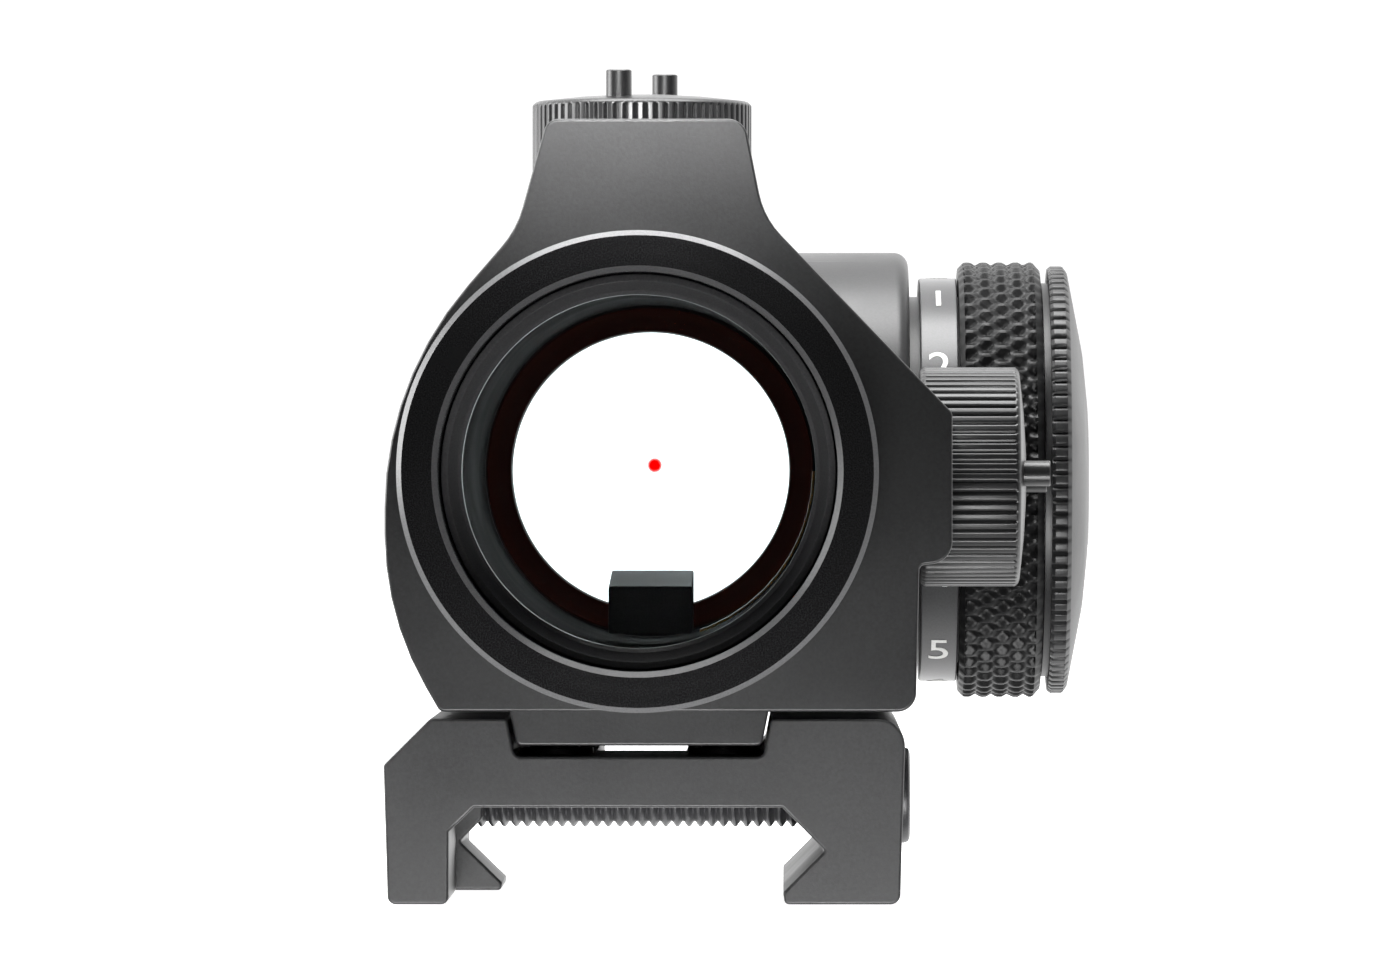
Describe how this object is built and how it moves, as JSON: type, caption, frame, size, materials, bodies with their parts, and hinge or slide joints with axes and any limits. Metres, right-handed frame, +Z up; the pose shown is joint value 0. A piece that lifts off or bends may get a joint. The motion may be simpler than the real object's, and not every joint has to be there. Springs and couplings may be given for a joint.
{
  "type": "red dot finder",
  "caption": "Compact tube red dot sight on a rail clamp, with capped elevation and windage adjusters, a side brightness dial that holds the battery, and a tilting inner tube.",
  "frame": {"origin": "on the rail seat (the flat that rests on the rail), straight under the tube axis, in the rear land of the seat", "axes": "+Y forward along the line of sight (the way the eye looks), +X to the side of the brightness dial, +Z up, towards the elevation cap"},
  "size_m": [0.0425, 0.062, 0.0496],
  "materials": {
    "anodised_body": "black anodised, satin, fine blasted grain",
    "anodised_satin": "black anodised, satin",
    "matt_black": "dead matt black",
    "steel": "bright",
    "black_steel": "black oxide",
    "brass": "turned",
    "rubber": "matt",
    "glass": "coated, clear",
    "circuit_board": "solder mask",
    "polyimide": "amber film",
    "lamp_red": "clear red"
  },
  "bodies": {
    "housing": {"battery_contact_spring": "steel", "bolt_washer": "black_steel", "dial_detent_ball": "steel", "dial_detent_spring": "steel", "dial_retaining_ring": "black_steel", "dial_seal": "rubber", "elevation_detent_ball": "steel", "elevation_detent_spring": "steel", "front_bezel": "anodised_body", "main_housing": "anodised_body", "mount_base": "anodised_satin", "mount_screw_1": "black_steel", "mount_screw_2": "black_steel", "mount_screw_3": "black_steel", "mount_screw_4": "black_steel", "rear_lens": "glass", "rear_lens_retainer": "anodised_satin", "rear_lens_seal": "rubber", "return_spring": "steel", "switch_board": "circuit_board", "windage_detent_ball": "steel", "windage_detent_spring": "steel"},
    "elevation_cap_carrier": {"elevation_cap_seal": "rubber"},
    "elevation_cap": {"elevation_cap": "anodised_satin"},
    "windage_cap_carrier": {"windage_cap_seal": "rubber"},
    "windage_cap": {"windage_cap": "anodised_satin"},
    "elevation_dial": {"elevation_dial": "brass"},
    "elevation_plunger": {"elevation_plunger": "steel"},
    "windage_dial": {"windage_dial": "brass"},
    "windage_plunger": {"windage_plunger": "steel"},
    "tilt_ring": {"pivot_seal": "rubber"},
    "optical_tube": {"inner_tube": "matt_black", "objective_lens_rear": "glass", "objective_lens_front": "glass", "objective_retainer": "matt_black", "emitter_block": "matt_black", "led": "lamp_red", "flex_ribbon": "polyimide"},
    "brightness_dial": {"dial_knob": "anodised_body", "number_ring": "anodised_satin", "switch_rotor": "brass", "battery": "steel"},
    "battery_cap_carrier": {"battery_cap_seal": "rubber"},
    "battery_cap": {"battery_cap": "anodised_body"},
    "cross_bolt": {"cross_bolt": "black_steel"},
    "clamp_jaw": {"clamp_jaw": "anodised_satin"}
  },
  "joints": [
    {"name": "elevation_cap_lift", "type": "slide", "parent": "housing", "child": "elevation_cap_carrier", "axis": [0, 0, 1], "range_m": [0, 0.003]},
    {"name": "elevation_cap_turn", "type": "hinge", "parent": "elevation_cap_carrier", "child": "elevation_cap", "pos_m": [0, 0.006, 0.03575], "axis": [0, 0, 1], "range_deg": [0, 1440.5]},
    {"name": "windage_cap_lift", "type": "slide", "parent": "housing", "child": "windage_cap_carrier", "axis": [1, 0, 0], "range_m": [0, 0.003]},
    {"name": "windage_cap_turn", "type": "hinge", "parent": "windage_cap_carrier", "child": "windage_cap", "pos_m": [0.0164, 0.006, 0.01947], "axis": [1, 0, 0], "range_deg": [0, 1440.5]},
    {"name": "windage_tilt", "type": "hinge", "parent": "housing", "child": "tilt_ring", "pos_m": [0, 0.04, 0.0198], "axis": [0, 0, 1], "range_deg": [-0.67, 0.67]},
    {"name": "windage_dial_turn", "type": "hinge", "parent": "housing", "child": "windage_dial", "pos_m": [0.0164, 0.006, 0.01947], "axis": [1, 0, 0], "range_deg": [-288, 288]},
    {"name": "windage_plunger_slide", "type": "slide", "parent": "housing", "child": "windage_plunger", "axis": [1, 0, 0], "range_m": [-0.000401, 0.000401]},
    {"name": "elevation_tilt", "type": "hinge", "parent": "tilt_ring", "child": "optical_tube", "pos_m": [0, 0.04, 0.0198], "axis": [1, 0, 0], "range_deg": [-0.67, 0.67]},
    {"name": "elevation_dial_turn", "type": "hinge", "parent": "housing", "child": "elevation_dial", "pos_m": [0, 0.006, 0.03575], "axis": [0, 0, 1], "range_deg": [-288, 288]},
    {"name": "elevation_plunger_slide", "type": "slide", "parent": "housing", "child": "elevation_plunger", "axis": [0, 0, 1], "range_m": [-0.000401, 0.000401]},
    {"name": "brightness_dial_turn", "type": "hinge", "parent": "housing", "child": "brightness_dial", "pos_m": [0.0169, 0.0275, 0.01925], "axis": [1, 0, 0], "range_deg": [-240, 90]},
    {"name": "battery_cap_lift", "type": "slide", "parent": "brightness_dial", "child": "battery_cap_carrier", "axis": [1, 0, 0], "range_m": [0, 0.00225]},
    {"name": "battery_cap_turn", "type": "hinge", "parent": "battery_cap_carrier", "child": "battery_cap", "pos_m": [0.0169, 0.0275, 0.01925], "axis": [1, 0, 0], "range_deg": [0, 1080.5]},
    {"name": "clamp_jaw_slide", "type": "slide", "parent": "housing", "child": "clamp_jaw", "axis": [-1, 0, 0], "range_m": [0, 0.0028]},
    {"name": "cross_bolt_turn", "type": "hinge", "parent": "housing", "child": "cross_bolt", "pos_m": [0, 0.01, 0.00015], "axis": [1, 0, 0], "range_deg": [0, 1440.5]}
  ],
  "couplings": [
    {"joint": "elevation_cap_turn", "follows": "elevation_cap_lift", "rad_per_m": 8377.6},
    {"joint": "windage_cap_turn", "follows": "windage_cap_lift", "rad_per_m": 8377.6},
    {"joint": "battery_cap_turn", "follows": "battery_cap_lift", "rad_per_m": 8377.6},
    {"joint": "windage_dial_turn", "follows": "windage_tilt", "ratio": 427.28},
    {"joint": "windage_plunger_slide", "follows": "windage_tilt", "m_per_rad": 0.034001},
    {"joint": "elevation_dial_turn", "follows": "elevation_tilt", "ratio": -427.28},
    {"joint": "elevation_plunger_slide", "follows": "elevation_tilt", "m_per_rad": -0.034001},
    {"joint": "cross_bolt_turn", "follows": "clamp_jaw_slide", "rad_per_m": 8976}
  ]
}
